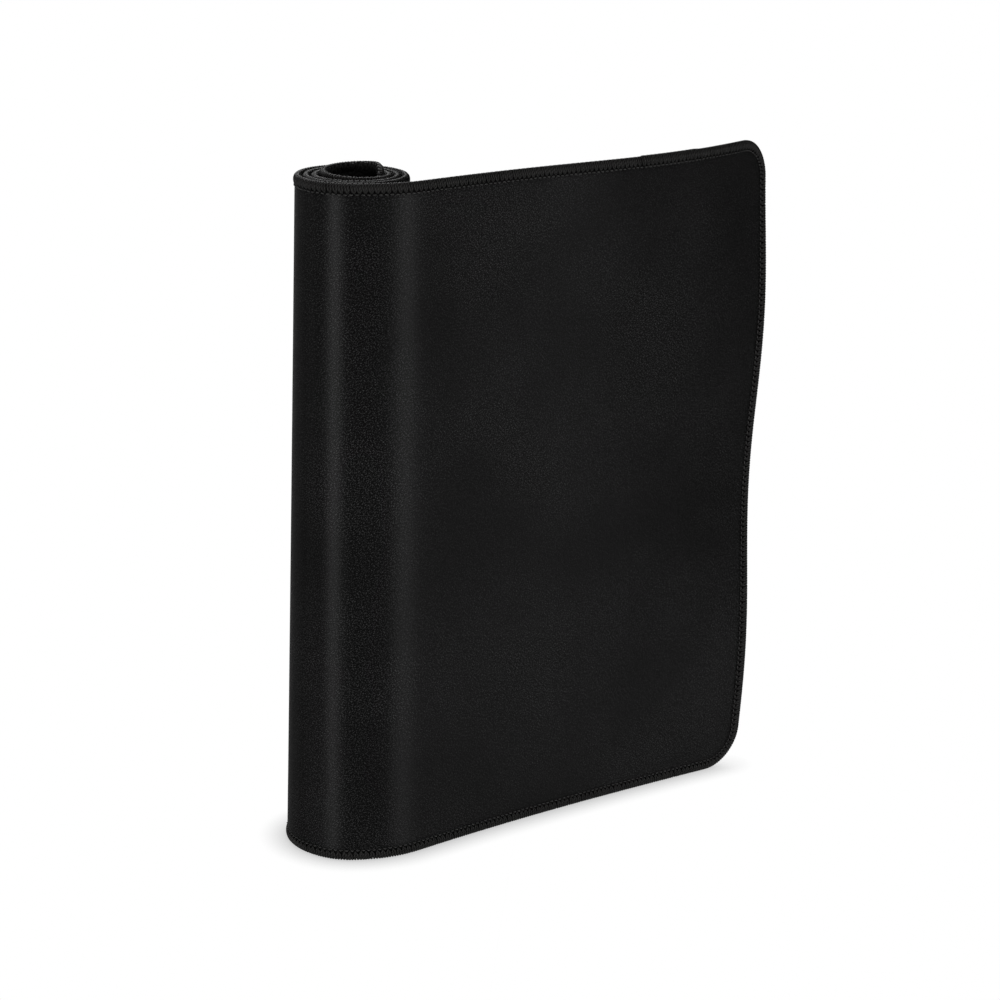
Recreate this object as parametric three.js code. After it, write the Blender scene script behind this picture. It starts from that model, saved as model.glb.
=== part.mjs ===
// A cloth-topped desk pad with an overlocked edge, partly rolled up and stood on one long edge.
// Millimetres, +Z up. The free panel runs along +X and its cloth side faces -Y.
//
// Every piece is drawn flat first, in three coordinates, and then rolled up by bend():
// along, from the end inside the roll to the free end;
// across, from the standing edge upwards;
// through, from the middle of the sheet towards its cloth side.

import * as THREE from 'three';

// The pad as it lies flat, over its sewn edge
const padLength = 890;
const padWidth = 400;
const cornerRadius = 25;
const clothThickness = 0.6;
const rubberThickness = 2.4;

// The overlocked edge
const seamWidth = 5.5;
const looperThickness = 0.4;
const looperBevel = 0.8;
const needleThickness = 0.4;
const threadClearance = 0.2;

// The roll, which is wound from its core outwards
const coreRadius = 14.2;
const turns = 3.914;
const turnGap = 0.55;
const coreRise = 7.3;
const riseLength = 152;

// The outer turn stands off the roll towards the foot
const footFlare = 9.7;
const flareAngle = THREE.MathUtils.degToRad(70);
const flareSpread = THREE.MathUtils.degToRad(133);

// The free panel, from where it leaves the roll
const leaveAngle = THREE.MathUtils.degToRad(29.2);
const easeLength = 41.6;
const panelTwist = THREE.MathUtils.degToRad(-0.5);
const footBowRadius = 1674;
const topBowRadius = 867;
const curlAngle = THREE.MathUtils.degToRad(26.4);
const curlLength = 174.6;

// The slight wave up the free end
const waveHeight = 2.8;
const waveLength = 213;
const waveMiddle = 236.5;
const waveReach = 110;

// How finely the surfaces are divided
const stepsPerTurn = 30;
const easeSteps = 4;
const panelStep = 30;
const panelRows = 12;
const coreCornerSteps = 10;
const freeCornerSteps = 6;
const lineStep = THREE.MathUtils.degToRad(2);
const lineStride = 2;

const sheetThickness = clothThickness + rubberThickness;
const clothFace = sheetThickness / 2;
const rubberFace = -sheetThickness / 2;
const bondPlane = clothFace - clothThickness;
const rimDepth = threadClearance + looperThickness;
const threadSeat = clothFace + threadClearance;
const threadTop = clothFace + rimDepth;
const turnPitch = 2 * threadTop + turnGap;
const rollAngle = 2 * Math.PI * turns;
const leavePolar = -Math.PI / 2 - leaveAngle;

// Radius of the sheet's middle after winding through an angle, at a share of the height
function rollRadius(angle, share) {
  const fromFlare = angle - rollAngle + THREE.MathUtils.euclideanModulo(leavePolar, 2 * Math.PI) - flareAngle;
  const reach = THREE.MathUtils.clamp(fromFlare / flareSpread, -1, 1);
  const bulge = Math.cos((Math.PI / 2) * reach) ** 2;
  return coreRadius + (turnPitch * angle) / (2 * Math.PI) + footFlare * (1 - share) * bulge;
}

// Direction of the panel, measured from +X, at a distance from where it leaves the roll
function panelHeading(distance, along, share, leaveHeading) {
  const eased = THREE.MathUtils.smoothstep(distance, 0, easeLength);
  const settled = panelTwist * (0.5 - share);
  const bow = THREE.MathUtils.lerp(1 / footBowRadius, 1 / topBowRadius, share);
  const curl = THREE.MathUtils.smoothstep(along, padLength - curlLength, padLength);
  return leaveHeading + (settled - leaveHeading) * eased
    - bow * Math.max(distance - easeLength, 0) + curlAngle * share * curl;
}

// The sheet's middle line at one height: points with their place along it and their heading
function makeMidLine(share) {
  const points = [];
  let along = 0;
  const windSteps = Math.ceil(rollAngle / lineStep);
  for (let i = 0; i <= windSteps; i += 1) {
    const angle = (rollAngle * i) / windSteps;
    const radius = rollRadius(angle, share);
    const polar = leavePolar - rollAngle + angle;
    const x = radius * Math.cos(polar);
    const y = radius * Math.sin(polar);
    const grows = (rollRadius(angle + lineStep / 2, share) - rollRadius(angle - lineStep / 2, share)) / lineStep;
    const heading = polar + Math.PI / 2 - Math.atan(grows / radius);
    if (i > 0) along += Math.hypot(x - points[i - 1].x, y - points[i - 1].y);
    points.push({ along, x, y, heading });
  }
  const start = points[points.length - 1];
  const panelSteps = Math.ceil((padLength - start.along) / lineStride);
  const stride = (padLength - start.along) / panelSteps;
  for (let i = 1; i <= panelSteps; i += 1) {
    const before = points[points.length - 1];
    const distance = stride * i;
    const middle = panelHeading(distance - stride / 2, before.along + stride / 2, share, start.heading);
    points.push({
      along: start.along + distance,
      x: before.x + stride * Math.cos(middle),
      y: before.y + stride * Math.sin(middle),
      heading: panelHeading(distance, start.along + distance, share, start.heading),
    });
  }
  return points;
}

const midLines = new Map();

function midLine(share) {
  if (!midLines.has(share)) midLines.set(share, makeMidLine(share));
  return midLines.get(share);
}

function pointOn(line, along) {
  let low = 0;
  let high = line.length - 1;
  while (high - low > 1) {
    const middle = (low + high) >> 1;
    if (line[middle].along <= along) low = middle;
    else high = middle;
  }
  const a = line[low];
  const b = line[high];
  const t = (along - a.along) / (b.along - a.along);
  return {
    x: THREE.MathUtils.lerp(a.x, b.x, t),
    y: THREE.MathUtils.lerp(a.y, b.y, t),
    heading: THREE.MathUtils.lerp(a.heading, b.heading, t),
  };
}

// Rolls a point of the flat pad up to its place on the standing pad
function bend(along, across, through) {
  const { x, y, heading } = pointOn(midLine(across / padWidth), along);
  const nearEnd = Math.max(1 - (padLength - along) / waveReach, 0);
  const wave = waveHeight * nearEnd ** 2 * Math.sin((2 * Math.PI * (across - waveMiddle)) / waveLength);
  const rise = coreRise * Math.max(1 - along / riseLength, 0) ** 2;
  const out = through + wave;
  return new THREE.Vector3(x + out * Math.sin(heading), y - out * Math.cos(heading), across + rise);
}

// Length of the sheet inside the roll up to a winding angle, measured at the top edge
function windingLength(angle) {
  const line = midLine(1);
  const index = Math.round((angle / rollAngle) * Math.ceil(rollAngle / lineStep));
  return line[index].along;
}

// Places along the straight stretch of the long edges where facets begin
function straightStations() {
  const last = padLength - cornerRadius;
  const stations = [cornerRadius];
  const rollSteps = Math.round(turns * stepsPerTurn);
  const rollEnd = windingLength(rollAngle);
  for (let i = 1; i <= rollSteps; i += 1) {
    const place = windingLength((rollAngle * i) / rollSteps);
    if (place > cornerRadius + rollEnd / rollSteps / 2) stations.push(place);
  }
  for (let i = 1; i <= easeSteps; i += 1) stations.push(rollEnd + (easeLength * i) / easeSteps);
  const panelStart = rollEnd + easeLength;
  const count = Math.ceil((last - panelStart) / panelStep);
  for (let i = 1; i <= count; i += 1) stations.push(panelStart + ((last - panelStart) * i) / count);
  return stations;
}

const straights = straightStations();

// Stations round the pad's rim, anticlockwise on the cloth side, each with its inward direction
function rimStations() {
  const stations = [];
  const add = (along, across, inAlong, inAcross) => stations.push({ along, across, inAlong, inAcross });
  const corner = (centreAlong, centreAcross, startAngle, steps) => {
    for (let i = 1; i < steps; i += 1) {
      const angle = startAngle + (Math.PI / 2) * (i / steps);
      const c = Math.cos(angle);
      const s = Math.sin(angle);
      add(centreAlong + cornerRadius * c, centreAcross + cornerRadius * s, -c, -s);
    }
  };
  const farAlong = padLength - cornerRadius;
  const farAcross = padWidth - cornerRadius;
  straights.forEach((place) => add(place, 0, 0, 1));
  corner(farAlong, cornerRadius, -Math.PI / 2, freeCornerSteps);
  add(padLength, cornerRadius, -1, 0);
  rowHeights().forEach((height) => add(padLength, height, -1, 0));
  add(padLength, farAcross, -1, 0);
  corner(farAlong, farAcross, 0, freeCornerSteps);
  [...straights].reverse().forEach((place) => add(place, padWidth, 0, -1));
  corner(cornerRadius, farAcross, Math.PI / 2, coreCornerSteps);
  add(0, farAcross, 1, 0);
  add(0, cornerRadius, 1, 0);
  corner(cornerRadius, cornerRadius, Math.PI, coreCornerSteps);
  return stations;
}

// Heights inside the free panel where its surface may bend
function rowHeights() {
  const heights = [];
  for (let i = 1; i < panelRows; i += 1) heights.push((padWidth * i) / panelRows);
  return heights;
}

function solid(positions, triangles) {
  const geometry = new THREE.BufferGeometry();
  const flat = positions.flatMap((point) => [point.x, point.y, point.z]);
  geometry.setAttribute('position', new THREE.Float32BufferAttribute(flat, 3));
  geometry.setIndex(triangles.flat());
  geometry.computeVertexNormals();
  return geometry;
}

// Columns of the cut sheet from its core end to its free end, each a list of heights
function sheetColumns() {
  const radius = cornerRadius - rimDepth;
  const rows = rowHeights();
  const columns = [];
  const add = (along, inset, inner) => {
    const low = rimDepth + inset;
    columns.push({ along, heights: [low, ...inner, padWidth - low] });
  };
  const cornerPlaces = (steps) => Array.from({ length: steps }, (_, i) => (Math.PI / 2) * (i / steps));
  cornerPlaces(coreCornerSteps).forEach((angle) => {
    add(rimDepth + radius * (1 - Math.cos(angle)), radius * (1 - Math.sin(angle)), []);
  });
  const everySecondRow = rows.filter((_, i) => i % 2 === 1);
  const outerTurnStart = windingLength(rollAngle - 2 * Math.PI);
  const panelStart = windingLength(rollAngle) + easeLength;
  straights.forEach((place) => {
    if (place > panelStart) add(place, 0, rows);
    else add(place, 0, place > outerTurnStart ? everySecondRow : []);
  });
  cornerPlaces(freeCornerSteps).reverse().forEach((angle) => {
    add(padLength - rimDepth - radius * (1 - Math.cos(angle)), radius * (1 - Math.sin(angle)), rows);
  });
  return columns;
}

// One layer of the sheet between two distances from its middle
function sheetLayer(innerFace, outerFace) {
  const columns = sheetColumns();
  const outer = [];
  const inner = [];
  columns.forEach((column) => {
    column.first = outer.length;
    column.heights.forEach((height) => {
      outer.push(bend(column.along, height, outerFace));
      inner.push(bend(column.along, height, innerFace));
    });
  });
  const below = outer.length;
  const triangles = [];
  const face = (a, b, c) => {
    triangles.push([a, b, c]);
    triangles.push([below + c, below + b, below + a]);
  };
  const wall = (p, q) => {
    triangles.push([below + p, below + q, q]);
    triangles.push([below + p, q, p]);
  };
  const climb = (column) => column.heights.slice(1).map((_, i) => column.first + i);
  for (let k = 0; k + 1 < columns.length; k += 1) {
    const left = columns[k];
    const right = columns[k + 1];
    let i = 0;
    let j = 0;
    while (i + 1 < left.heights.length || j + 1 < right.heights.length) {
      const leftNext = i + 1 < left.heights.length ? left.heights[i + 1] : Infinity;
      const rightNext = j + 1 < right.heights.length ? right.heights[j + 1] : Infinity;
      if (rightNext <= leftNext) {
        face(left.first + i, right.first + j, right.first + j + 1);
        j += 1;
      } else {
        face(left.first + i, right.first + j, left.first + i + 1);
        i += 1;
      }
    }
    wall(left.first, right.first);
    wall(right.first + right.heights.length - 1, left.first + left.heights.length - 1);
  }
  climb(columns[columns.length - 1]).forEach((index) => wall(index, index + 1));
  climb(columns[0]).forEach((index) => wall(index + 1, index));
  return solid([...outer, ...inner], triangles);
}

// A thread's section, as [inset from the rim, through], carried once round the pad
function threadRound(section) {
  const stations = rimStations();
  const positions = stations.flatMap((at) => section.map(([inset, through]) => (
    bend(at.along + at.inAlong * inset, at.across + at.inAcross * inset, through)
  )));
  const triangles = [];
  stations.forEach((_, i) => {
    const here = i * section.length;
    const next = ((i + 1) % stations.length) * section.length;
    section.forEach((__, j) => {
      const k = (j + 1) % section.length;
      triangles.push([here + j, here + k, next + k], [here + j, next + k, next + j]);
    });
  });
  return solid(positions, triangles);
}

const upperLooperSection = [
  [seamWidth, threadSeat],
  [seamWidth - looperBevel, threadTop],
  [looperBevel, threadTop],
  [0, threadTop - looperBevel],
  [0, -threadSeat],
  [looperThickness, -threadSeat],
  [looperThickness, threadSeat],
  [seamWidth / 2, threadSeat],
];

const lowerLooperSection = [
  [seamWidth, -threadSeat],
  [rimDepth, -threadSeat],
  [rimDepth + looperThickness, -threadTop],
  [seamWidth - looperBevel, -threadTop],
];

const needleStart = seamWidth + threadClearance;
const needleSection = [
  [needleStart, threadSeat],
  [needleStart + needleThickness, threadSeat],
  [needleStart + needleThickness / 2, threadSeat + needleThickness],
];

// The least gap between one turn of the sewn edge and the next, measured on points
function leastTurnGap() {
  const spacing = 2;
  const halfTurn = Math.PI * coreRadius;
  let least = Infinity;
  for (const height of [0, padWidth / 2, padWidth]) {
    const count = Math.floor(padLength / spacing);
    const places = Array.from({ length: count }, (_, i) => i * spacing);
    const backs = places.map((place) => bend(place, height, -threadTop));
    const fronts = places.map((place) => bend(place, height, threadTop));
    for (let i = 0; i < count; i += 1) {
      for (let j = 0; j < i; j += 1) {
        if (places[i] - places[j] < halfTurn) continue;
        least = Math.min(least, Math.hypot(backs[i].x - fronts[j].x, backs[i].y - fronts[j].y));
      }
    }
  }
  return least;
}

function piece(name, geometry, colour, roughness) {
  const material = new THREE.MeshStandardMaterial({ color: colour, roughness, metalness: 0 });
  const mesh = new THREE.Mesh(geometry, material);
  mesh.name = name;
  return mesh;
}

const deskPad = new THREE.Group();
deskPad.add(piece('cloth_top', sheetLayer(bondPlane, clothFace), 0x1b1b1d, 0.7));
deskPad.add(piece('rubber_base', sheetLayer(rubberFace, bondPlane), 0x161617, 0.9));
deskPad.add(piece('upper_looper_thread', threadRound(upperLooperSection), 0x262628, 0.8));
deskPad.add(piece('lower_looper_thread', threadRound(lowerLooperSection), 0x262628, 0.8));
deskPad.add(piece('needle_thread', threadRound(needleSection), 0x2a2a2c, 0.8));

// The origin is the middle of the standing pad's footprint
const footprint = new THREE.Box3().setFromObject(deskPad);
deskPad.position.set(-(footprint.min.x + footprint.max.x) / 2, -(footprint.min.y + footprint.max.y) / 2, 0);

console.log(`least gap between turns ${leastTurnGap().toFixed(2)} mm`);

export default deskPad;
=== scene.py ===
"""A cloth-topped desk pad with an overlocked edge, partly rolled up and stood on one long edge.

Every piece is drawn on the flat pad, in millimetres, and then rolled up by bend():
along runs from the end inside the roll to the free end, across from the standing edge upwards,
and through from the middle of the sheet towards its cloth side.
"""

import math

import bpy
import numpy as np
from mathutils import Matrix, Vector


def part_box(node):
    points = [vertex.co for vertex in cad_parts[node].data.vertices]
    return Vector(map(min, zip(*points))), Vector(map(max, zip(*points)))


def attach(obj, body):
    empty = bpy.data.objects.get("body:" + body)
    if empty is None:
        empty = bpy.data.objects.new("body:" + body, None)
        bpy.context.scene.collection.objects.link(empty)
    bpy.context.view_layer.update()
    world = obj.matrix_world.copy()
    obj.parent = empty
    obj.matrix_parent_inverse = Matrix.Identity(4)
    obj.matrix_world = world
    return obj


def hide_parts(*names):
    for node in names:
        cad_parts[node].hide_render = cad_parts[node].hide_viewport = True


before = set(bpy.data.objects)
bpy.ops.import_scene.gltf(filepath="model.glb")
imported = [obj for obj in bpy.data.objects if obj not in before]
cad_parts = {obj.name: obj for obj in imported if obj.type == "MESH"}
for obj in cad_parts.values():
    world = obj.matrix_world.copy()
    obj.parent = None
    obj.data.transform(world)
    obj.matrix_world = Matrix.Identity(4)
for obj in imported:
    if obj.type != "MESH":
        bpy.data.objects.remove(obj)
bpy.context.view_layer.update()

MM = 0.001

# The pad as it lies flat, over its sewn edge
PAD_LENGTH = 890.0
PAD_WIDTH = 400.0
CORNER_RADIUS = 25.0
CLOTH_THICKNESS = 0.6
RUBBER_THICKNESS = 2.4
CLOTH_FACE = (CLOTH_THICKNESS + RUBBER_THICKNESS) / 2
RUBBER_FACE = -CLOTH_FACE
BOND_PLANE = CLOTH_FACE - CLOTH_THICKNESS

# The roll, which is wound from its core outwards
CORE_RADIUS = 14.2
TURNS = 3.914
TURN_PITCH = 4.75
CORE_RISE = 7.3
RISE_LENGTH = 152.0
ROLL_ANGLE = 2 * math.pi * TURNS

# The outer turn stands off the roll towards the foot
FOOT_FLARE = 9.7
FLARE_ANGLE = math.radians(70)
FLARE_SPREAD = math.radians(133)

# The free panel, from where it leaves the roll
LEAVE_ANGLE = math.radians(29.2)
LEAVE_POLAR = -math.pi / 2 - LEAVE_ANGLE
EASE_LENGTH = 41.6
PANEL_TWIST = math.radians(-0.5)
FOOT_BOW_RADIUS = 1674.0
TOP_BOW_RADIUS = 867.0
CURL_ANGLE = math.radians(26.4)
CURL_LENGTH = 174.6

# The slight wave up the free end
WAVE_HEIGHT = 2.8
WAVE_LENGTH = 213.0
WAVE_MIDDLE = 236.5
WAVE_REACH = 110.0

# The pad's rim, anticlockwise on the cloth side from the foot of the core end
LONG_EDGE = PAD_LENGTH - 2 * CORNER_RADIUS
SHORT_EDGE = PAD_WIDTH - 2 * CORNER_RADIUS
CORNER_ARC = math.pi / 2 * CORNER_RADIUS
RIM_LENGTH = 2 * (LONG_EDGE + SHORT_EDGE) + 4 * CORNER_ARC

# The overlocked edge, whose end is sewn over its start
STITCH_COUNT = 790
STITCH = RIM_LENGTH / STITCH_COUNT
SEAM_START = 1316.0
OVERLAP_STITCHES = 14
OVERLAP_LIFT = 0.4
SEWN_STITCHES = STITCH_COUNT + OVERLAP_STITCHES
NEEDLE_INSET = 6.25
CUT_INSET = 1.2

# How deep the seam presses the sheet in, and how far from the needle line and the cut edge
SEAM_SQUEEZE = 0.4
SQUEEZE_OUTSIDE = 0.4
SQUEEZE_INSIDE = 2.2
CUT_SQUEEZE_REACH = 1.6

# A leg of a looper thread, from the needle's hole to the rim: inset from the rim, height through,
# tilt of its outside from the cloth face in degrees, share of its slant, distance from its hole in
# quarter stitches, half width and half thickness
UPPER_LEG = np.array([
    [5.85, 0.80, -40, 0.00, 0.00, 0.30, 0.28],
    [5.30, 1.42, -25, 0.12, 0.26, 0.36, 0.38],
    [4.60, 1.68, -10, 0.26, 0.62, 0.52, 0.46],
    [3.70, 1.80, 0, 0.44, 0.96, 0.74, 0.52],
    [2.50, 1.74, 10, 0.64, 1.00, 0.79, 0.54],
    [1.30, 1.36, 36, 0.82, 1.00, 0.79, 0.54],
    [0.52, 0.62, 66, 0.94, 1.00, 0.78, 0.50],
    [0.50, -0.50, 100, 1.00, 0.90, 0.78, 0.42],
])
LOWER_LEG = np.array([
    [5.70, -1.00, 220, 0.00, 0.00, 0.40, 0.28],
    [4.70, -1.54, 192, 0.20, 0.40, 0.44, 0.42],
    [3.20, -1.74, 180, 0.50, 1.00, 0.48, 0.46],
    [1.80, -1.62, 166, 0.80, 1.56, 0.50, 0.46],
    [0.75, -1.08, 135, 1.00, 1.92, 0.50, 0.40],
])
# The needle thread over one stitch: share of the stitch, height through, half width, half thickness
NEEDLE_STITCH = np.array([
    [0.00, 0.45, 0.20, 0.20],
    [0.24, 1.00, 0.28, 0.28],
    [0.35, 1.55, 0.42, 0.36],
    [0.50, 1.76, 0.48, 0.38],
    [0.65, 1.55, 0.42, 0.36],
    [0.76, 1.00, 0.28, 0.28],
])

# How far a whole leg slants along the rim, in stitches, and how uneven the sewing is
UPPER_SLANT = 0.45
LOWER_SLANT = 0.0
HOLE_WANDER = 0.03
FULLNESS_SPREAD = 0.09
NEEDLE_WANDER = 0.12
UPPER_SEED = 11
LOWER_SEED = 12
NEEDLE_SEED = 13

# How finely the curve of the roll is worked out
SHARE_COUNT = 41
ALONG_COUNT = 1601
WIND_STEPS = 729
PANEL_STEPS = 180
LINE_STEP = math.radians(2)
NUDGE = 0.05

# How finely the sheet is divided, and its insets from the cut edge where points lie close together
ROLL_COLUMN = 1.7
PANEL_COLUMN = 3.5
ROW_STEP = 8.0
ARC_POINTS = 22
LEAST_COLUMN = 0.12
PLACE_DIGITS = 2
MARGIN_STEPS = np.array([0.0, 0.7, 1.6, 2.8, 3.9, 4.6, 5.1, 5.6, 6.2, 7.0, 8.2, 10.0, 13.0])
SHARP_ANGLE = math.radians(50)

# Sides round each yarn, and how its length is laid out in rows of its map
UPPER_SIDES = 8
LOWER_SIDES = 6
NEEDLE_SIDES = 6
UPPER_MAP_ROWS = 60
LOWER_MAP_ROWS = 50
NEEDLE_MAP_ROWS = 40
SHEET_MAP_MARGIN = 0.002
YARN_MAP_MARGIN = 0.04

# The cloth: a black satin weave with a fine slanting grain and faint clouds
TWILL_ANGLE = math.radians(-45)
GRAIN_LENGTH = 0.86
GRAIN_WIDTH = 0.6
GRAIN_DETAIL = 1.0
GRAIN_LOW = 0.51
GRAIN_HIGH = 0.74
CLOUD_SIZE = 70.0
CLOUD_DETAIL = 2.0
CLOUD_LOW = 0.34
CLOUD_HIGH = 0.64
CLOUD_SHADE = 0.45
CLOUD_HEIGHT = 4.0
CLOTH_DARK = (0.0003, 0.0003, 0.0003, 1.0)
CLOTH_LIGHT = (0.027, 0.027, 0.0273, 1.0)
CLOTH_RELIEF = 0.10

# Its sheen: a streak across the weave, lost where the cloth is seen edge on and under the seam, where
# the cloth's colour is also painted black as shade
CLOTH_SPECULAR = 0.064
CLOTH_SMOOTH = 0.39
CLOTH_ROUGH = 0.49
CLOTH_STREAK = 0.85
STREAK_TURN = 0.25
MATT_FROM = 0.28
MATT_TO = 0.62
SEAM_SHADE_WIDTH = 0.5

# The rubber: fine moulded waves for grip, with painted shade: darker in the hollows of the waves and
# lighter on their crests
GRIP_PITCH = 2.4
GRIP_SWING = 1.0
GRIP_SWING_LENGTH = 9.0
GRIP_HEIGHT = 0.25
GRIP_LOW = 0.2
GRIP_HIGH = 0.8
PORE_SCALE = 0.9
PORE_DETAIL = 4.0
RUBBER_DARK = (0.002, 0.002, 0.002, 1.0)
RUBBER_LIGHT = (0.008, 0.008, 0.0082, 1.0)
RUBBER_RELIEF = 0.25
RUBBER_ROUGHNESS = 0.7
RUBBER_SPECULAR = 0.1

# The threads: plies round a yarn, and the turns of each in a millimetre; their colour is painted darker
# in the grooves between plies and lighter on the plies, as shade and light
PLY_COUNT = 3.0
PLY_TURNS = 0.55
PLY_RELIEF = 0.1
PLY_BUMP = 0.4
LOOPER_DARK = (0.0027, 0.0026, 0.0025, 1.0)
LOOPER_LIGHT = (0.0148, 0.0145, 0.0141, 1.0)
NEEDLE_DARK = (0.0095, 0.0093, 0.0091, 1.0)
NEEDLE_LIGHT = (0.034, 0.0335, 0.033, 1.0)
THREAD_ROUGHNESS = 0.5
THREAD_SPECULAR = 0.05

# The camera, from the roll's axis: how its view is turned from square on to the panel, and its place
VIEW_TURN = math.radians(41.49)
VIEW_PITCH = math.radians(16.41)
VIEW_ROLL = math.radians(1.2)
CAMERA_ASIDE = 85.15
CAMERA_BACK = 1546.7
CAMERA_HEIGHT = 667.6
LENS = 100.8
SENSOR = 36.0
CLIP_END = 50.0
UP = Vector((0.0, 0.0, 1.0))
VIEW_RIGHT = Vector((math.cos(VIEW_TURN), -math.sin(VIEW_TURN), 0.0))
VIEW_LEVEL = Vector((math.sin(VIEW_TURN), math.cos(VIEW_TURN), 0.0))

# The lamps: degrees aside from the camera's side of the pad, degrees up, distance, width, height, power
LAMPS = {
    "left_strip": (-35.5, 3.0, 1600.0, 540.0, 560.0, 22.5),
    "right_strip": (53.0, 3.0, 1600.0, 640.0, 560.0, 19.5),
    "rear_softbox": (200.0, 45.0, 1700.0, 1300.0, 1300.0, 34.0),
    "front_softbox": (15.0, 68.0, 1700.0, 900.0, 900.0, 9.0),
}
ROOM_LIGHT = 0.06

# The floor, in metres, and the painted shadow that darkens its glow where the pad stands close to it
FLOOR_SIZE = 60.0
FLOOR_COLOUR = (0.4, 0.4, 0.4, 1.0)
CONTACT_REACH = 18.0
CONTACT_FROM = 0.5
CONTACT_GLOW = 0.62
CONTACT_SAMPLES = 8


def smoothstep(x, low, high):
    t = np.clip((x - low) / (high - low), 0.0, 1.0)
    return t * t * (3.0 - 2.0 * t)


def roll_radius(angle, share):
    """Radius of the sheet's middle after winding through an angle, at a share of the height."""
    from_flare = angle - ROLL_ANGLE + LEAVE_POLAR % (2 * math.pi) - FLARE_ANGLE
    reach = np.clip(from_flare / FLARE_SPREAD, -1.0, 1.0)
    bulge = np.cos(math.pi / 2 * reach) ** 2
    return CORE_RADIUS + TURN_PITCH * angle / (2 * math.pi) + FOOT_FLARE * (1 - share) * bulge


def panel_heading(distance, along, share, leave_heading):
    """Direction of the panel, from +X, at a distance from where it leaves the roll."""
    eased = smoothstep(distance, 0.0, EASE_LENGTH)
    settled = PANEL_TWIST * (0.5 - share)
    bow = (1 - share) / FOOT_BOW_RADIUS + share / TOP_BOW_RADIUS
    curl = smoothstep(along, PAD_LENGTH - CURL_LENGTH, PAD_LENGTH)
    straight = leave_heading + (settled - leave_heading) * eased
    return straight - bow * np.maximum(distance - EASE_LENGTH, 0.0) + CURL_ANGLE * share * curl


def mid_line(share):
    """The sheet's middle line at one height: its place along, x, y and heading."""
    angle = np.linspace(0.0, ROLL_ANGLE, WIND_STEPS + 1)
    radius = roll_radius(angle, share)
    polar = LEAVE_POLAR - ROLL_ANGLE + angle
    x = radius * np.cos(polar)
    y = radius * np.sin(polar)
    wider = roll_radius(angle + LINE_STEP / 2, share)
    tighter = roll_radius(angle - LINE_STEP / 2, share)
    heading = polar + math.pi / 2 - np.arctan((wider - tighter) / LINE_STEP / radius)
    along = np.append(0.0, np.cumsum(np.hypot(np.diff(x), np.diff(y))))
    stride = (PAD_LENGTH - along[-1]) / PANEL_STEPS
    distance = stride * np.arange(1, PANEL_STEPS + 1)
    places = along[-1] + distance
    middle = panel_heading(distance - stride / 2, places - stride / 2, share, heading[-1])
    panel_x = x[-1] + stride * np.cumsum(np.cos(middle))
    panel_y = y[-1] + stride * np.cumsum(np.sin(middle))
    panel_turn = panel_heading(distance, places, share, heading[-1])
    line = (np.append(along, places), np.append(x, panel_x), np.append(y, panel_y))
    return *line, np.append(heading, panel_turn)


def map_table():
    """x, y and heading of the sheet's middle over a grid of heights and places along."""
    places = np.linspace(0.0, PAD_LENGTH, ALONG_COUNT)
    rows = []
    for share in np.linspace(0.0, 1.0, SHARE_COUNT):
        along, *values = mid_line(share)
        rows.append([np.interp(places, along, value) for value in values])
    return np.array(rows).transpose(1, 0, 2)


MAP_TABLE = map_table()


def middle_at(along, across):
    """x, y and heading of the sheet's middle at points of the flat pad."""
    column = np.clip(along / PAD_LENGTH, 0.0, 1.0) * (ALONG_COUNT - 1)
    row = np.clip(across / PAD_WIDTH, 0.0, 1.0) * (SHARE_COUNT - 1)
    i = np.minimum(column.astype(int), ALONG_COUNT - 2)
    j = np.minimum(row.astype(int), SHARE_COUNT - 2)
    right = column - i
    up = row - j
    lower = MAP_TABLE[:, j, i] * (1 - right) + MAP_TABLE[:, j, i + 1] * right
    upper = MAP_TABLE[:, j + 1, i] * (1 - right) + MAP_TABLE[:, j + 1, i + 1] * right
    return lower * (1 - up) + upper * up


def bend(along, across, through):
    """Rolls points of the flat pad up to their places about the roll's axis."""
    along, across, through = np.broadcast_arrays(along, across, through)
    x, y, heading = middle_at(along, across)
    near_end = np.clip(1 - (PAD_LENGTH - along) / WAVE_REACH, 0.0, 1.0)
    wave = WAVE_HEIGHT * near_end**2 * np.sin(2 * math.pi * (across - WAVE_MIDDLE) / WAVE_LENGTH)
    rise = CORE_RISE * np.clip(1 - along / RISE_LENGTH, 0.0, 1.0) ** 2
    past = along - np.clip(along, 0.0, PAD_LENGTH)
    out = through + wave
    x = x + past * np.cos(heading) + out * np.sin(heading)
    y = y + past * np.sin(heading) - out * np.cos(heading)
    return np.stack([x, y, across + rise], axis=-1)


def roll_axis():
    """Where the roll's axis stands in the frame, so that the cloth lies over the solid cloth."""
    places = np.linspace(0.0, PAD_LENGTH, ALONG_COUNT)[:, None]
    heights = np.linspace(0.0, PAD_WIDTH, SHARE_COUNT)[None, :]
    drawn = bend(places, heights, CLOTH_FACE)[..., :2].reshape(-1, 2)
    low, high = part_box("cloth_top")
    solid = np.array([(low.x + high.x) / 2, (low.y + high.y) / 2]) / MM
    return solid - (drawn.min(axis=0) + drawn.max(axis=0)) / 2


ROLL_AXIS = np.append(roll_axis(), 0.0)


def stand(along, across, through):
    """Points of the flat pad at their places in the frame, in millimetres."""
    return bend(along, across, through) + ROLL_AXIS


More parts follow.
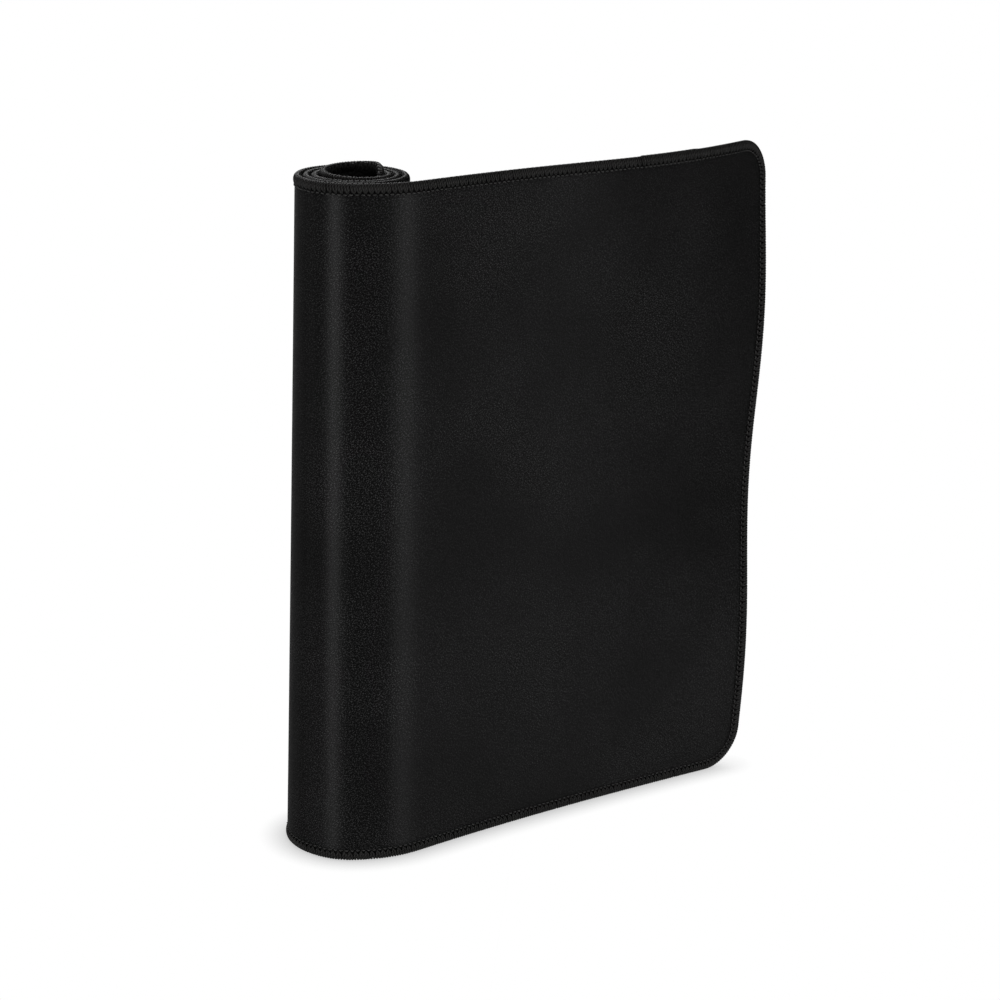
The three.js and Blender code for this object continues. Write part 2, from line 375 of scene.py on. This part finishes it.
def rim(s):
    """Along and across of the rim at a distance round it, with the direction inwards there."""
    lengths = [LONG_EDGE, CORNER_ARC, SHORT_EDGE, CORNER_ARC] * 2
    starts = np.append(0.0, np.cumsum(lengths))
    s = np.mod(s, RIM_LENGTH)
    run = np.clip(np.searchsorted(starts, s, side="right") - 1, 0, len(lengths) - 1)
    side = run // 2
    past = s - starts[run]
    centre_along = np.where((side == 0) | (side == 1), PAD_LENGTH - CORNER_RADIUS, CORNER_RADIUS)
    centre_across = np.where((side == 1) | (side == 2), PAD_WIDTH - CORNER_RADIUS, CORNER_RADIUS)
    facing = (side - 1) * math.pi / 2
    is_corner = run % 2 == 1
    turned = facing + np.where(is_corner, past / CORNER_RADIUS, 0.0)
    before = np.where(is_corner, 0.0, np.where(side % 2 == 0, LONG_EDGE, SHORT_EDGE) - past)
    out_along = np.cos(turned)
    out_across = np.sin(turned)
    along = centre_along + CORNER_RADIUS * out_along + before * out_across
    across = centre_across + CORNER_RADIUS * out_across - before * out_along
    return along, across, -out_along, -out_across


def on_rim(s, inset, through):
    """Points at a distance round the rim, an inset from it and a distance from the sheet's middle."""
    along, across, in_along, in_across = rim(s)
    return stand(along + in_along * inset, across + in_across * inset, through)


def rim_distance(along, across):
    """How far a point of the flat pad lies inside the rim."""
    x = np.abs(along - PAD_LENGTH / 2) - (PAD_LENGTH / 2 - CORNER_RADIUS)
    y = np.abs(across - PAD_WIDTH / 2) - (PAD_WIDTH / 2 - CORNER_RADIUS)
    outside = np.hypot(np.maximum(x, 0.0), np.maximum(y, 0.0))
    return CORNER_RADIUS - outside - np.minimum(np.maximum(x, y), 0.0)


def make_object(name, points, face_groups, maps, flat=None):
    """A smooth mesh object from points in millimetres, with UV maps and flat places."""
    mesh = bpy.data.meshes.new(name)
    corners = np.concatenate([group.ravel() for group in face_groups]).astype(np.int32)
    sizes = np.concatenate([np.full(len(group), group.shape[1]) for group in face_groups])
    starts = np.append(0, np.cumsum(sizes)[:-1]).astype(np.int32)
    mesh.vertices.add(len(points))
    mesh.vertices.foreach_set("co", (points * MM).astype(np.float32).ravel())
    mesh.loops.add(len(corners))
    mesh.loops.foreach_set("vertex_index", corners)
    mesh.polygons.add(len(sizes))
    mesh.polygons.foreach_set("loop_start", starts)
    mesh.update(calc_edges=True)
    mesh.polygons.foreach_set("use_smooth", np.ones(len(sizes), dtype=bool))
    for title, places in maps.items():
        layer = mesh.uv_layers.new(name=title)
        layer.uv.foreach_set("vector", places.astype(np.float32).ravel())
    if flat is not None:
        attribute = mesh.attributes.new("flat", "FLOAT_VECTOR", "POINT")
        attribute.data.foreach_set("vector", flat.astype(np.float32).ravel())
    made = bpy.data.objects.new(name, mesh)
    bpy.context.scene.collection.objects.link(made)
    return made


def grid_faces(columns, rows, first=0):
    """Quads of a grid whose points run up each column in turn."""
    i, j = np.meshgrid(np.arange(columns - 1), np.arange(rows - 1), indexing="ij")
    corner = first + i * rows + j
    quads = np.stack([corner, corner + rows, corner + rows + 1, corner + 1], axis=-1)
    return quads.reshape(-1, 4)


def sheet_columns():
    """Places along the sheet where its columns of points stand."""
    roll_end = mid_line(1.0)[0][WIND_STEPS] + EASE_LENGTH
    last = PAD_LENGTH - CUT_INSET
    radius = CORNER_RADIUS - CUT_INSET
    arc = radius * (1 - np.cos(np.linspace(0.0, math.pi / 2, ARC_POINTS)))
    ends = np.unique(np.round(np.concatenate([arc, MARGIN_STEPS]), PLACE_DIGITS))
    ends = ends[np.append(True, np.diff(ends) > LEAST_COLUMN)]
    start = CUT_INSET + ends[-1]
    in_roll = np.arange(start + ROLL_COLUMN, roll_end, ROLL_COLUMN)
    on_panel = np.linspace(in_roll[-1], last - ends[-1], int((last - roll_end) / PANEL_COLUMN))
    return np.concatenate([CUT_INSET + ends, in_roll, on_panel[1:], (last - ends)[-2::-1]])


def sheet_heights(along):
    """Heights of a column's points, between the cut edges at its place along."""
    radius = CORNER_RADIUS - CUT_INSET
    from_end = np.minimum(along, PAD_LENGTH - along) - CUT_INSET
    short = np.clip(radius - from_end, 0.0, radius)
    low = CUT_INSET + radius - np.sqrt(radius**2 - short**2)
    high = PAD_WIDTH - low
    count = int((PAD_WIDTH - 2 * MARGIN_STEPS[-1]) / ROW_STEP)
    between = np.linspace(0.0, 1.0, count + 1)[1:-1]
    inner_low = low[:, None] + MARGIN_STEPS[None, :]
    inner_high = high[:, None] - MARGIN_STEPS[None, ::-1]
    span = inner_high[:, :1] - inner_low[:, -1:]
    return np.concatenate([inner_low, inner_low[:, -1:] + span * between, inner_high], axis=1)


def squeezed(distance, depth):
    """How far the seam presses a face in, at a distance inside the rim, and more at the cut edge."""
    held = 1 - smoothstep(distance, NEEDLE_INSET - SQUEEZE_OUTSIDE, NEEDLE_INSET + SQUEEZE_INSIDE)
    cut = 1 - smoothstep(distance, CUT_INSET, CUT_INSET + CUT_SQUEEZE_REACH)
    return depth * (held + cut)


def within_margin(places, margin):
    """Places from 0 to 1, drawn in from both ends by a margin."""
    return margin + (1 - 2 * margin) * places


def sheet_layer(name, outer_face, inner_face, outer_squeeze, inner_squeeze):
    """One layer of the laminate as a closed body, with its outer face first."""
    places = sheet_columns()
    heights = sheet_heights(places)
    along = np.broadcast_to(places[:, None], heights.shape)
    distance = rim_distance(along, heights)
    outer = stand(along, heights, outer_face - squeezed(distance, outer_squeeze))
    inner = stand(along, heights, inner_face - squeezed(distance, inner_squeeze))
    columns, rows = heights.shape
    count = columns * rows
    points = np.concatenate([outer.reshape(-1, 3), inner.reshape(-1, 3)])
    front = grid_faces(columns, rows)
    back = grid_faces(columns, rows, count)[:, ::-1]
    foot = np.arange(columns) * rows
    top = foot + rows - 1
    first = np.arange(rows)
    last = first + (columns - 1) * rows
    border = np.concatenate([foot[:-1], last[:-1], top[:0:-1], first[:0:-1]])
    onward = np.roll(border, -1)
    walls = np.stack([border + count, onward + count, onward, border], axis=-1)
    faces = np.concatenate([front, back, walls])
    if outer_face < inner_face:
        faces = faces[:, ::-1]
    flat = np.stack([along, heights, distance], axis=-1).reshape(-1, 3)
    flat = np.concatenate([flat, flat])
    spots = np.stack([flat[:, 0] / PAD_LENGTH, flat[:, 1] / PAD_WIDTH / 2], axis=-1)
    # The outer face has the upper half of the map
    spots[:count, 1] += 0.5
    spots = within_margin(spots, SHEET_MAP_MARGIN)
    made = make_object(name, points, [faces], {"OFBake": spots[faces.ravel()]}, flat)
    made.data.set_sharp_from_angle(angle=SHARP_ANGLE)
    return made


def overlap_lift(s):
    """How far the end of the seam rides up on its start."""
    return OVERLAP_LIFT * smoothstep(s - SEAM_START - RIM_LENGTH, -STITCH, STITCH)


def looper_path(leg, whole_slant, seed):
    """The rings of a looper thread, which runs from one hole over to the rim and back to the next."""
    draws = np.random.default_rng(seed)
    rows = np.arange(len(leg))
    order = np.concatenate([rows, rows[:0:-1]])
    returns = np.arange(len(order)) >= len(leg)
    inset, through, tilt, slant, apart, half_width, half_thick = leg[order].T
    hole = np.arange(SEWN_STITCHES)[:, None] + returns
    strayed = hole + draws.normal(0.0, HOLE_WANDER, SEWN_STITCHES + 1)[hole]
    place = strayed + whole_slant * slant + np.where(returns, -apart, apart) / 4
    fullness = draws.normal(1.0, FULLNESS_SPREAD, (SEWN_STITCHES, 1))
    rings = {
        "s": SEAM_START + STITCH * place,
        "inset": inset,
        "through": through,
        "tilt": np.radians(tilt),
        "half_width": half_width * fullness,
        "half_thick": half_thick,
    }
    return {key: np.broadcast_to(value, place.shape).ravel() for key, value in rings.items()}


def needle_path(seed):
    """The rings of the needle thread, which dives into the pad once a stitch."""
    draws = np.random.default_rng(seed)
    share, through, half_width, half_thick = NEEDLE_STITCH.T
    place = np.arange(SEWN_STITCHES)[:, None] + share
    rings = {
        "s": SEAM_START + STITCH * place,
        "inset": NEEDLE_INSET + NEEDLE_WANDER * draws.uniform(-1.0, 1.0, (SEWN_STITCHES, 1)),
        "through": through,
        "tilt": 0.0,
        "half_width": half_width * draws.normal(1.0, FULLNESS_SPREAD, (SEWN_STITCHES, 1)),
        "half_thick": half_thick,
    }
    return {key: np.broadcast_to(value, place.shape).ravel() for key, value in rings.items()}


def yarn(name, path, sides, map_rows):
    """A flattened yarn along its path round the rim, with its flat side on the sheet."""
    s = path["s"]
    lean_in = -np.sin(path["tilt"])
    lean_off = np.cos(path["tilt"])
    lift = overlap_lift(s)
    inset = path["inset"] + lean_in * lift
    through = path["through"] + lean_off * lift
    centre = on_rim(s, inset, through)
    out = on_rim(s, inset + lean_in * NUDGE, through + lean_off * NUDGE) - centre
    tangent = np.gradient(centre, axis=0)
    tangent /= np.linalg.norm(tangent, axis=1, keepdims=True)
    side = np.cross(tangent, out)
    side /= np.linalg.norm(side, axis=1, keepdims=True)
    out = np.cross(side, tangent)
    angle = 2 * math.pi * np.arange(sides) / sides
    aside = (path["half_width"][:, None] * np.cos(angle))[..., None]
    off = (path["half_thick"][:, None] * np.sin(angle))[..., None]
    points = centre[:, None] + side[:, None] * aside + out[:, None] * off

    rings = len(s)
    i, j = np.meshgrid(np.arange(rings - 1), np.arange(sides), indexing="ij")
    after = (j + 1) % sides
    near = i * sides
    far = near + sides
    quads = np.stack([near + j, near + after, far + after, far + j], axis=-1)
    caps = np.stack([np.arange(sides)[::-1], (rings - 1) * sides + np.arange(sides)])

    length = np.append(0.0, np.cumsum(np.linalg.norm(np.diff(centre, axis=0), axis=1)))
    lay_u = np.stack([j, j + 1, j + 1, j], axis=-1) / sides
    lay_v = np.stack([length[i], length[i], length[i + 1], length[i + 1]], axis=-1)
    per_row = math.ceil((rings - 1) / map_rows)
    step = i % per_row
    bake_u = np.stack([step, step, step + 1, step + 1], axis=-1) / per_row
    bake_v = ((i // per_row)[..., None] + within_margin(lay_u, YARN_MAP_MARGIN)) / map_rows
    cap_spots = np.zeros((2 * sides, 2))
    maps = {
        "lay": np.concatenate([np.stack([lay_u, lay_v], axis=-1).reshape(-1, 2), cap_spots]),
        "OFBake": np.concatenate([np.stack([bake_u, bake_v], axis=-1).reshape(-1, 2), cap_spots]),
    }
    return make_object(name, points.reshape(-1, 3), [quads.reshape(-1, 4), caps], maps)


class Finish:
    """A material in the making: its shader, and short ways to add nodes to it."""

    def __init__(self, name):
        self.material = bpy.data.materials.new(name)
        self.material.use_nodes = True
        self.tree = self.material.node_tree
        self.shader = self.tree.nodes["Principled BSDF"]

    def put(self, node, socket, value):
        """Gives a socket its value, or links it to the socket that holds it."""
        if isinstance(value, bpy.types.NodeSocket):
            self.tree.links.new(value, node.inputs[socket])
        else:
            node.inputs[socket].default_value = value

    def add(self, kind, inputs=(), **settings):
        node = self.tree.nodes.new(kind)
        for key, value in settings.items():
            setattr(node, key, value)
        for socket, value in dict(inputs).items():
            self.put(node, socket, value)
        return node

    def math(self, operation, *values):
        return self.add("ShaderNodeMath", enumerate(values), operation=operation).outputs[0]

    def scaled(self, vector, factors):
        inputs = {0: vector, 1: factors}
        return self.add("ShaderNodeVectorMath", inputs, operation="MULTIPLY").outputs[0]

    def ranged(self, value, low=0.0, high=1.0, to_low=0.0, to_high=1.0):
        source = {"Value": value, "From Min": low, "From Max": high}
        target = {"To Min": to_low, "To Max": to_high}
        return self.add("ShaderNodeMapRange", source | target).outputs[0]

    def noise(self, place, detail, scale=1.0):
        inputs = {"Vector": place, "Scale": scale, "Detail": detail}
        return self.add("ShaderNodeTexNoise", inputs).outputs["Fac"]

    def mixed(self, factor, dark, light):
        inputs = {"Factor": factor, "A": dark, "B": light}
        return self.add("ShaderNodeMix", inputs, data_type="RGBA").outputs["Result"]

    def raised(self, height, relief, strength=1.0):
        inputs = {"Height": height, "Strength": strength, "Distance": relief * MM}
        return self.add("ShaderNodeBump", inputs).outputs[0]

    def shade(self, inputs):
        """Sets the shader's own sockets, and hands the material back."""
        for socket, value in inputs.items():
            self.put(self.shader, socket, value)
        return self.material


def cloth_material():
    finish = Finish("cloth")
    flat = finish.add("ShaderNodeAttribute", attribute_name="flat").outputs["Vector"]
    turn = {"Vector": flat, "Angle": TWILL_ANGLE}
    turned = finish.add("ShaderNodeVectorRotate", turn, rotation_type="Z_AXIS").outputs[0]
    drawn = finish.scaled(turned, (1 / GRAIN_LENGTH, 1 / GRAIN_WIDTH, 0.0))
    grain = finish.noise(drawn, GRAIN_DETAIL)
    spread = finish.scaled(flat, (1 / CLOUD_SIZE, 1 / CLOUD_SIZE, 0.0))
    cloud = finish.noise(spread, CLOUD_DETAIL)
    inside = finish.add("ShaderNodeSeparateXYZ", {0: flat}).outputs["Z"]
    # Painted shade: from the needle line outwards, under the seam, the cloth's colour goes to black and
    # its roughness to 1
    out_of_seam_shade = finish.ranged(inside, NEEDLE_INSET, NEEDLE_INSET + SEAM_SHADE_WIDTH)
    weave = finish.ranged(grain, GRAIN_LOW, GRAIN_HIGH)
    colour = finish.mixed(weave, CLOTH_DARK, CLOTH_LIGHT)
    clouded = finish.ranged(cloud, CLOUD_LOW, CLOUD_HIGH, CLOUD_SHADE)
    # The faint clouds together with the painted shade under the seam
    shown = finish.math("MULTIPLY", clouded, out_of_seam_shade)
    rough = finish.ranged(weave, to_low=CLOTH_ROUGH, to_high=CLOTH_SMOOTH)
    facing = finish.add("ShaderNodeLayerWeight").outputs["Facing"]
    matt = finish.ranged(facing, MATT_FROM, MATT_TO, rough)
    height = finish.math("MULTIPLY_ADD", cloud, CLOUD_HEIGHT, grain)
    lay = finish.add("ShaderNodeTangent", direction_type="UV_MAP", uv_map="OFBake").outputs[0]
    return finish.shade({
        "Base Color": finish.mixed(shown, CLOTH_DARK, colour),
        "Roughness": finish.ranged(out_of_seam_shade, to_low=1.0, to_high=matt),
        "Normal": finish.raised(height, CLOTH_RELIEF),
        "Tangent": lay,
        "Anisotropic": CLOTH_STREAK,
        "Anisotropic Rotation": STREAK_TURN,
        "Specular IOR Level": CLOTH_SPECULAR,
    })


def rubber_material():
    finish = Finish("rubber")
    flat = finish.add("ShaderNodeAttribute", attribute_name="flat").outputs["Vector"]
    place = finish.add("ShaderNodeSeparateXYZ", {0: flat}).outputs
    swing = finish.math("SINE", finish.math("MULTIPLY", place["X"], 2 * math.pi / GRIP_SWING_LENGTH))
    swung = finish.math("MULTIPLY_ADD", swing, GRIP_SWING, place["Y"])
    wave = finish.math("SINE", finish.math("MULTIPLY", swung, 2 * math.pi / GRIP_PITCH))
    pores = finish.noise(flat, PORE_DETAIL, PORE_SCALE)
    height = finish.math("MULTIPLY_ADD", wave, GRIP_HEIGHT, pores)
    # Painted shade and light: the rubber's colour follows the waves, darker in their hollows and
    # lighter on their crests
    crest_and_painted_shade = finish.ranged(height, GRIP_LOW, GRIP_HIGH)
    return finish.shade({
        "Base Color": finish.mixed(crest_and_painted_shade, RUBBER_DARK, RUBBER_LIGHT),
        "Normal": finish.raised(height, RUBBER_RELIEF),
        "Roughness": RUBBER_ROUGHNESS,
        "Specular IOR Level": RUBBER_SPECULAR,
    })


def thread_material(name, dark, light):
    finish = Finish(name)
    lay = finish.add("ShaderNodeUVMap", uv_map="lay").outputs[0]
    twist = finish.scaled(lay, (PLY_COUNT, PLY_TURNS, 0.0))
    place = finish.add("ShaderNodeSeparateXYZ", {0: twist}).outputs
    turns = finish.math("ADD", place["X"], place["Y"])
    ply = finish.math("SINE", finish.math("MULTIPLY", turns, 2 * math.pi))
    # Painted shade: the thread's colour is darker in the grooves between its plies and lighter on their
    # crests, which also raise its bump
    crest_and_painted_shade = finish.ranged(ply, low=-1.0)
    return finish.shade({
        "Base Color": finish.mixed(crest_and_painted_shade, dark, light),
        "Normal": finish.raised(crest_and_painted_shade, PLY_RELIEF, PLY_BUMP),
        "Roughness": THREAD_ROUGHNESS,
        "Specular IOR Level": THREAD_SPECULAR,
    })


def dress(piece, material, slot, *nodes):
    """Gives a piece its finish, hangs it under the root body, and hides the solids that it stands for.
    """
    piece.data.materials.append(material)
    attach(piece, "root")
    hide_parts(*nodes)
    return piece


cloth = dress(
    sheet_layer("cloth", CLOTH_FACE, BOND_PLANE, SEAM_SQUEEZE, SEAM_SQUEEZE / 2),
    cloth_material(), "cloth", "cloth_top",
)
rubber = dress(
    sheet_layer("rubber", RUBBER_FACE, BOND_PLANE, -SEAM_SQUEEZE / 2, SEAM_SQUEEZE / 2),
    rubber_material(), "rubber", "rubber_base",
)
looper_finish = thread_material("looper_thread", LOOPER_DARK, LOOPER_LIGHT)
needle_finish = thread_material("needle_thread", NEEDLE_DARK, NEEDLE_LIGHT)
upper_path = looper_path(UPPER_LEG, UPPER_SLANT, UPPER_SEED)
upper_looper = dress(
    yarn("upper_looper", upper_path, UPPER_SIDES, UPPER_MAP_ROWS),
    looper_finish, "looper_thread", "upper_looper_thread",
)
lower_path = looper_path(LOWER_LEG, LOWER_SLANT, LOWER_SEED)
lower_looper = dress(
    yarn("lower_looper", lower_path, LOWER_SIDES, LOWER_MAP_ROWS),
    looper_finish, "looper_thread", "lower_looper_thread",
)
needle = dress(
    yarn("needle", needle_path(NEEDLE_SEED), NEEDLE_SIDES, NEEDLE_MAP_ROWS),
    needle_finish, "needle_thread", "needle_thread",
)


def make_camera():
    look = VIEW_LEVEL * math.cos(VIEW_PITCH) - UP * math.sin(VIEW_PITCH)
    above = VIEW_RIGHT.cross(look)
    right = VIEW_RIGHT * math.cos(VIEW_ROLL) + above * math.sin(VIEW_ROLL)
    rolled_up = above * math.cos(VIEW_ROLL) - VIEW_RIGHT * math.sin(VIEW_ROLL)
    place = Vector(ROLL_AXIS) + VIEW_RIGHT * CAMERA_ASIDE - VIEW_LEVEL * CAMERA_BACK
    place.z = CAMERA_HEIGHT
    data = bpy.data.cameras.new("camera")
    data.lens = LENS
    data.sensor_width = SENSOR
    data.clip_end = CLIP_END
    camera = bpy.data.objects.new("camera", data)
    turn = Matrix((right, rolled_up, -look)).transposed()
    camera.matrix_world = Matrix.Translation(place * MM) @ turn.to_4x4()
    bpy.context.scene.collection.objects.link(camera)
    bpy.context.scene.camera = camera


def make_lamp(name, aside, up, distance, width, height, power):
    """A soft lamp that faces the pad's middle."""
    level = VIEW_RIGHT * math.sin(math.radians(aside)) - VIEW_LEVEL * math.cos(math.radians(aside))
    toward = level * math.cos(math.radians(up)) + UP * math.sin(math.radians(up))
    data = bpy.data.lights.new(name, "AREA")
    data.shape = "RECTANGLE"
    data.size = width * MM
    data.size_y = height * MM
    data.energy = power
    lamp = bpy.data.objects.new(name, data)
    lamp.location = (UP * PAD_WIDTH / 2 + toward * distance) * MM
    lamp.rotation_mode = "QUATERNION"
    lamp.rotation_quaternion = toward.to_track_quat("Z", "Y")
    lamp.visible_camera = False
    bpy.context.scene.collection.objects.link(lamp)


def make_world():
    """A dim, even room."""
    world = bpy.data.worlds.new("studio")
    bpy.context.scene.world = world
    world.use_nodes = True
    background = world.node_tree.nodes["Background"]
    background.inputs["Color"].default_value = (1.0, 1.0, 1.0, 1.0)
    background.inputs["Strength"].default_value = ROOM_LIGHT


def make_floor():
    """A white floor, with a painted shadow that makes it a little darker where the pad stands close to
    it.
    """
    half = FLOOR_SIZE / 2
    mesh = bpy.data.meshes.new("floor")
    corners = [(-half, -half, 0), (half, -half, 0), (half, half, 0), (-half, half, 0)]
    mesh.from_pydata(corners, [], [(0, 1, 2, 3)])
    floor = bpy.data.objects.new("floor", mesh)
    bpy.context.scene.collection.objects.link(floor)
    finish = Finish("floor")
    mesh.materials.append(finish.shade({
        "Base Color": FLOOR_COLOUR,
        "Roughness": 1.0,
        "Specular IOR Level": 0.0,
    }))
    ray = finish.add("ShaderNodeLightPath").outputs
    seen = finish.math("MAXIMUM", ray["Is Camera Ray"], ray["Is Glossy Ray"])
    shown = finish.math("MAXIMUM", seen, ray["Is Transmission Ray"])
    # Painted shadow: the floor's white glow dims with its ambient occlusion where the pad stands close
    reach = {"Distance": CONTACT_REACH * MM}
    clear = finish.add("ShaderNodeAmbientOcclusion", reach, samples=CONTACT_SAMPLES).outputs["AO"]
    glow = finish.ranged(clear, CONTACT_FROM, to_low=CONTACT_GLOW)
    white = finish.add("ShaderNodeEmission", {"Strength": glow}).outputs[0]
    both = {0: shown, 1: finish.shader.outputs[0], 2: white}
    surface = finish.add("ShaderNodeMixShader", both).outputs[0]
    finish.put(finish.tree.nodes["Material Output"], "Surface", surface)


make_camera()
make_world()
make_floor()
for lamp_name, lamp_values in LAMPS.items():
    make_lamp(lamp_name, *lamp_values)
bpy.context.scene.view_settings.view_transform = "Standard"
